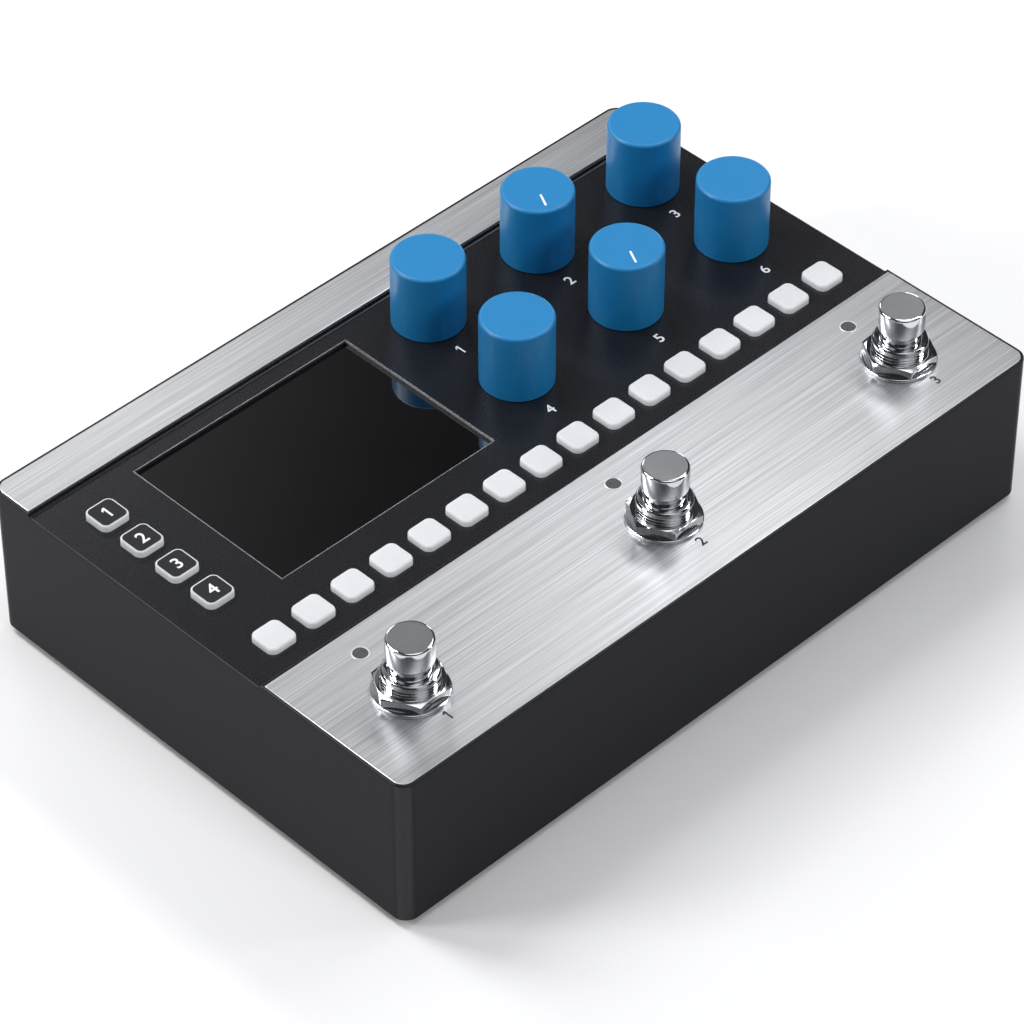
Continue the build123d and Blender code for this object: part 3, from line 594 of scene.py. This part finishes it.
def foot_switch_body(centre):
    """Moulded box with its bush: a plain collar on top, ring-cut thread below it, bored for the stem."""
    profile = [(bush_radius, box_top_z - bush_root), (bush_radius, thread_low_z)]
    turns = round((thread_high_z - thread_low_z) / thread_pitch)
    for turn in range(turns):
        low = thread_low_z + turn * thread_pitch
        profile += [
            (bush_radius - thread_depth, low + root_start * thread_pitch),
            (bush_radius - thread_depth, low + root_end * thread_pitch),
            (bush_radius, low + crest_start * thread_pitch),
            (bush_radius, low + thread_pitch),
        ]
    profile += [
        (bush_radius, bush_high.z - bush_chamfer),
        (bush_radius - bush_chamfer, bush_high.z),
    ]
    bush = turned("bush", centre, profile)
    cut(bush, rod("bore", centre, stem_radius + stem_gap, bore_low_z, bush_high.z + overshoot))
    break_edges(bush, bush_edge, angle=40)
    box = plate("box", Vector((centre[0] - box_half, centre[1] - box_half, bush_low.z)),
                Vector((centre[0] + box_half, centre[1] + box_half, box_top_z)))
    round_corners(box, box_corner, everything, segments=5)
    cut(box, rod("bore", centre, stem_radius + stem_gap, bore_low_z, box_top_z + overshoot))
    return [bush, box]


def hex_nut(centre, low_z):
    """Hex nut: a six-sided bar, its top corners turned down by a cone, bored, with broken edges."""
    high_z = low_z + nut_height
    bpy.ops.object.select_all(action="DESELECT")
    bpy.ops.mesh.primitive_cylinder_add(
        vertices=6, radius=nut_flats / math.sqrt(3), depth=high_z - low_z,
        location=(*centre, (low_z + high_z) / 2), rotation=(0, 0, math.pi / 2))
    nut = settle(started("nut"))
    cone_radius = nut_flats / 2 + cone_margin + (high_z - low_z) * cone_slope
    cone = rod("cone", centre, cone_radius, low_z - cone_slack, high_z + cone_slack, nut_flats / 2)
    cut(nut, cone, "INTERSECT")
    cut(nut, rod("bore", centre, clamp_hole, low_z - overshoot, high_z + overshoot))
    break_edges(nut, nut_edge, angle=20)
    return nut


def flat_washer(centre):
    """Stamped washer with rounded rims."""
    washer = turned("washer", centre, [(washer_radius, washer_low.z), (washer_radius, washer_high.z)])
    cut(washer, rod("bore", centre, clamp_hole, washer_low.z - overshoot, washer_high.z + overshoot))
    break_edges(washer, washer_edge, angle=40, segments=3)
    return washer


def bright_group(name, shapes, angle, finish):
    """Several bright shapes as one piece, fixed to the case."""
    group = joined(name, shapes)
    smooth(group, angle)
    dress(group, finish, "case")
    return group


for name in switch_names:
    foot_button(name)

bodies = [shape for place in switch_places for shape in foot_switch_body(place)]
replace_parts(bright_group("foot_switch_bushes", bodies, 40, chrome), "foot_switch_bodies")

nuts = [hex_nut(place, low_z) for place in switch_places for low_z in (washer_high.z, nut_low.z)]
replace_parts(bright_group("foot_switch_hex_nuts", nuts, 30, chrome), "foot_switch_nuts")

washers = [flat_washer(place) for place in switch_places]
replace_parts(bright_group("foot_switch_flat_washers", washers, 40, chrome), "foot_switch_washers")


# Lights: a bright bezel round each lens

def light_bezel(centre):
    """Thin turned ring with a rounded crown, seated in the countersink of the sheet."""
    outer, inner, sides = 1.92 * mm, 1.6 * mm, 64
    sunk, proud, crown = 0.1 * mm, 0.14 * mm, 0.14 * mm
    bezel = turned("bezel", centre, [(outer, rim_z - sunk), (outer, rim_z + proud)], sides)
    cut(bezel, rod("bore", centre, inner, rim_z - overshoot, rim_z + overshoot, sides=sides))
    break_edges(bezel, crown, angle=40, segments=5)
    return bezel


bezels = [light_bezel(place) for place in light_places]
bright_group("light_bezels", bezels, 40, bezel_metal)


# Printed figures

print_height = 0.03 * mm


def figure(name, text, height, centre, low_z, finish, body):
    """Printed figure, lying flat and read from the front."""
    if text == "1":
        piece = figure_one(name, height, centre, low_z)
    else:
        piece = font_figure(name, text, height, centre, low_z)
    dress(piece, finish, body)


def figure_one(name, height, centre, low_z):
    """Figure 1: an upright stroke, with a flag drawn out of its top."""
    stroke, flag, flag_drop = 0.15 * height, 0.2 * height, 0.17 * height
    left, right = 0.2 * stroke, 0.8 * stroke
    low = Vector((centre[0] - left, centre[1] - height / 2, low_z))
    high = Vector((centre[0] + right, centre[1] + height / 2, low_z + print_height))
    piece = plate(name, low, high)
    flag_y = high.y - flag
    pick(piece, "FACE", everything)
    bpy.ops.mesh.bisect(plane_co=(0, flag_y, 0), plane_no=(0, 1, 0))
    done()
    pick(piece, "FACE", lambda face: face.normal.x < -0.9 and middle_of(face).y > flag_y)
    bpy.ops.mesh.extrude_region_move(TRANSFORM_OT_translate={"value": (-flag, -flag_drop, 0)})
    done()
    return piece


def font_figure(name, text, height, centre, low_z):
    """Figure from the plain built-in letters, made a mesh and set to its height."""
    depth, boldness, curve_steps = 0.05, 0.012, 6
    bpy.ops.object.select_all(action="DESELECT")
    bpy.ops.object.text_add(location=(0, 0, 0))
    letters = bpy.context.active_object
    letters.data.body = text
    letters.data.extrude = depth
    letters.data.offset = boldness
    letters.data.resolution_u = curve_steps
    take(letters)
    bpy.ops.object.convert(target="MESH")
    piece = started(name)
    points = [point.co for point in piece.data.vertices]
    low = Vector(min(point[i] for point in points) for i in range(3))
    high = Vector(max(point[i] for point in points) for i in range(3))
    share = height / (high.y - low.y)
    shift = (low + high) / 2
    piece.scale = (share, share, print_height / (high.z - low.z))
    piece.location = (centre[0] - shift.x * share, centre[1] - shift.y * share, low_z + print_height / 2)
    settle(piece)
    pick(piece, "VERT", everything)
    bpy.ops.mesh.remove_doubles(threshold=0.001 * mm)
    bpy.ops.mesh.normals_make_consistent(inside=False)
    done()
    return piece


# Numbered keys: a dark inlay in each top, with its figure
key_low, key_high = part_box("number_key_1")
key_flange_ledge, inlay_border, inlay_corner = 0.7 * mm, 0.42 * mm, 1.2 * mm
inlay_half = (key_high.x - key_low.x) / 2 - key_flange_ledge - inlay_border
inlay_reach = Vector((inlay_half, inlay_half, 0))
key_figure_height = 3.1 * mm
for index, node in enumerate(number_names):
    top_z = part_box(node)[1].z
    centre = Vector((*middle(node), top_z))
    inlay = plate(f"{node}_inlay", centre - inlay_reach,
                  centre + inlay_reach + Vector((0, 0, print_height)))
    round_corners(inlay, inlay_corner, everything, segments=8)
    smooth(inlay, angle=40)
    dress(inlay, inlay_dark, node)
    figure(f"{node}_figure", str(index + 1), key_figure_height, centre, top_z + print_height,
           print_white, node)

# Plain figures beside the knobs and the foot switches
knob_figure_height, knob_figure_right, knob_figure_down = 2.7 * mm, -2.2 * mm, 12.0 * mm
for index, name in enumerate(knob_names):
    x, y = knob_places[name]
    figure(f"knob_figure_{index + 1}", str(index + 1), knob_figure_height,
           (x + knob_figure_right, y - knob_figure_down), panel_z, print_white, "case")
switch_figure_height, switch_figure_right, switch_figure_down = 2.6 * mm, 0.3 * mm, 10.0 * mm
for index, (x, y) in enumerate(switch_places):
    figure(f"switch_figure_{index + 1}", str(index + 1), switch_figure_height,
           (x + switch_figure_right, y - switch_figure_down), rim_z, print_dark, "case")

# Pointer lines let into the two middle knobs
pointer_inner, pointer_outer, pointer_half = 1.9 * mm, 5.9 * mm, 0.25 * mm
pointer_depth, pointer_sunk, pointer_turn = 0.2 * mm, 0.02 * mm, -117
pointer_end = 0.98 * pointer_half
for name in knob_names:
    if name.endswith("middle"):
        node = f"knob_{name}"
        top_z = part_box(node)[1].z
        line = plate(f"{node}_pointer", Vector((pointer_inner, -pointer_half, top_z - pointer_depth)),
                     Vector((pointer_outer, pointer_half, top_z - pointer_sunk)))
        round_corners(line, pointer_end, everything, segments=6)
        line.rotation_euler = (0, 0, math.radians(pointer_turn))
        line.location = (*knob_places[name], 0)
        settle(line)
        smooth(line, angle=40)
        dress(line, print_white, node)


# Floor, light and camera

def floor_finish():
    """White paper: full white where it is seen or mirrored, greyer in the light that it throws back."""
    dark, light, roughness, features = (0.29, 0.29, 0.295), (0.31, 0.31, 0.315), 0.95, 40
    seen_white = (0.93, 0.93, 0.935)
    finish, shader = new_finish("floor_paper", light, roughness, specular=0.0)
    tree = finish.node_tree
    vary_colour(finish, shader, grain(finish, (features,) * 3), dark, light)
    seen = tree.nodes.new("ShaderNodeBsdfDiffuse")
    seen.inputs["Color"].default_value = (*seen_white, 1)
    ray = tree.nodes.new("ShaderNodeLightPath")
    glossy = tree.nodes.new("ShaderNodeMath")
    glossy.operation = "MAXIMUM"
    clear = tree.nodes.new("ShaderNodeMath")
    clear.operation = "MAXIMUM"
    mix = tree.nodes.new("ShaderNodeMixShader")
    tree.links.new(ray.outputs["Is Camera Ray"], glossy.inputs[0])
    tree.links.new(ray.outputs["Is Glossy Ray"], glossy.inputs[1])
    tree.links.new(glossy.outputs["Value"], clear.inputs[0])
    tree.links.new(ray.outputs["Is Transmission Ray"], clear.inputs[1])
    tree.links.new(clear.outputs["Value"], mix.inputs["Fac"])
    tree.links.new(shader.outputs["BSDF"], mix.inputs[1])
    tree.links.new(seen.outputs["BSDF"], mix.inputs[2])
    tree.links.new(mix.outputs["Shader"], tree.nodes["Material Output"].inputs["Surface"])
    return finish


floor_size = 8
bpy.ops.object.select_all(action="DESELECT")
bpy.ops.mesh.primitive_plane_add(size=floor_size, location=(0, 0, 0))
floor = started("floor")
floor.data.materials.append(floor_finish())

lamp_aim = Vector((0, 0, 0.03))


def softbox(name, place, size, watts, mirrored=True):
    """Rectangular lamp at a place, facing the object; a fill lamp is kept out of mirror images."""
    bpy.ops.object.light_add(type="AREA", location=place)
    lamp = bpy.context.active_object
    lamp.name = name
    lamp.data.shape = "RECTANGLE"
    lamp.data.size, lamp.data.size_y = size
    lamp.data.energy = watts
    lamp.visible_glossy = mirrored
    lamp.rotation_euler = (lamp_aim - Vector(place)).to_track_quat("-Z", "Y").to_euler()


softbox("top_strip", (0.5, 0.04, 0.76), (0.6, 0.14), 1.75)
softbox("key_softbox", (-0.22, 0.52, 0.82), (0.26, 0.5), 4.9)
softbox("back_softbox", (0.36, 0.76, 0.54), (0.2, 0.2), 0.65)
softbox("rim_softbox", (0.85, 0.48, 0.25), (0.15, 0.3), 0.8)
softbox("left_softbox", (-0.7, 0.46, 0.5), (0.24, 0.22), 2.8)
softbox("right_softbox", (0.66, -0.58, 0.46), (0.16, 0.2), 1.0)
softbox("front_softbox", (-0.02, -0.84, 0.54), (0.22, 0.24), 1.8, mirrored=False)

world = bpy.data.worlds.new("studio")
world.use_nodes = True
sky_nodes, sky_links = world.node_tree.nodes, world.node_tree.links
sky_place = sky_nodes.new("ShaderNodeTexCoord")


def sky_glow(aim, start, strength, beneath):
    """Soft bright patch of the studio round one direction, laid over the light that is there already."""
    spread = sky_nodes.new("ShaderNodeVectorMath")
    spread.operation = "DOT_PRODUCT"
    spread.inputs[1].default_value = Vector(aim).normalized()
    glow = sky_nodes.new("ShaderNodeMapRange")
    glow.interpolation_type = "SMOOTHSTEP"
    glow.inputs["From Min"].default_value = start
    glow.inputs["From Max"].default_value = 1.0
    glow.inputs["To Max"].default_value = strength
    total = sky_nodes.new("ShaderNodeMath")
    sky_links.new(sky_place.outputs["Generated"], spread.inputs[0])
    sky_links.new(spread.outputs["Value"], glow.inputs["Value"])
    sky_links.new(glow.outputs["Result"], total.inputs[0])
    if isinstance(beneath, float):
        total.inputs[1].default_value = beneath
    else:
        sky_links.new(beneath, total.inputs[1])
    return total.outputs["Value"]


# Each glow: direction, cosine of the angle where it starts, and strength, over an even dim light
sky_colour = (0.98, 0.99, 1.02)
room_light = 0.025
for aim, start, strength in (
    ((0.33, -0.1, 0.94), 0.8, 0.32),
    ((0.25, 0.8, 0.55), 0.92, 0.4),
    ((0.0, -0.76, 0.65), 0.92, 0.45),
    ((-0.94, 0.1, 0.34), 0.9, 0.5),
    ((-0.06, -0.27, 0.96), 0.9, 1.5),
):
    room_light = sky_glow(aim, start, strength, room_light)
sky_nodes["Background"].inputs["Color"].default_value = (*sky_colour, 1)
sky_links.new(room_light, sky_nodes["Background"].inputs["Strength"])
bpy.context.scene.world = world

camera_azimuth = math.radians(44.548)
camera_elevation = math.radians(42.358)
camera_distance = 1.01827
camera_target = Vector((4.392, 6.277, 6.766)) * mm
focal_share = 4789.39 / 1024  # focal length as a share of the picture's width
film_width = 36
camera_back = Vector((
    -math.sin(camera_azimuth) * math.cos(camera_elevation),
    -math.cos(camera_azimuth) * math.cos(camera_elevation),
    math.sin(camera_elevation),
))
lens = bpy.data.cameras.new("camera")
lens.sensor_width = film_width
lens.lens = focal_share * film_width
lens.clip_start = 0.01
camera = bpy.data.objects.new("camera", lens)
bpy.context.scene.collection.objects.link(camera)
camera.location = camera_target + camera_back * camera_distance
camera.rotation_mode = "QUATERNION"
camera.rotation_quaternion = (-camera_back).to_track_quat("-Z", "Y")
bpy.context.scene.camera = camera
bpy.context.scene.view_settings.view_transform = "Standard"
